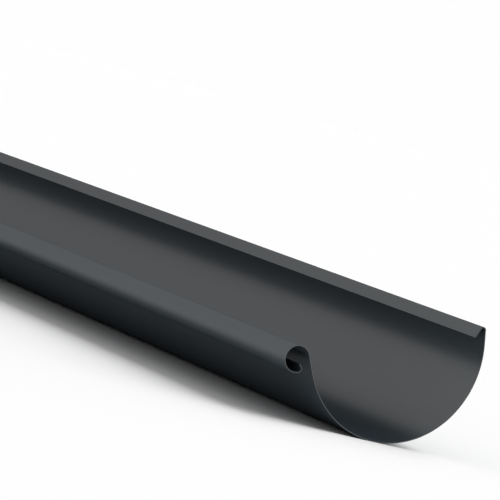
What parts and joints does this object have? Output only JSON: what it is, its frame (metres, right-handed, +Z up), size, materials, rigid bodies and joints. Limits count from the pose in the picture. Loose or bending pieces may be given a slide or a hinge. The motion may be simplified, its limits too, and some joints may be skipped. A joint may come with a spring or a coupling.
{
  "type": "half-round gutter section",
  "caption": "Half-round eaves gutter length in dark coated sheet steel, with a curled front bead and an inward-folded rear edge.",
  "frame": {"origin": "on the floor, under the middle of the part's length and width, as the gutter lies unheld on its round back", "axes": "+X along the gutter, +Y towards the rear (folded) edge, -Y towards the front bead, +Z up as it lies. The hung gutter is this one turned by -17.14 degrees about +X, which brings the two rims level."},
  "size_m": [2, 0.1405, 0.0879],
  "materials": {
    "coated_steel": "satin"
  },
  "bodies": {
    "root": {"gutter_profile": "coated_steel"}
  },
  "joints": []
}
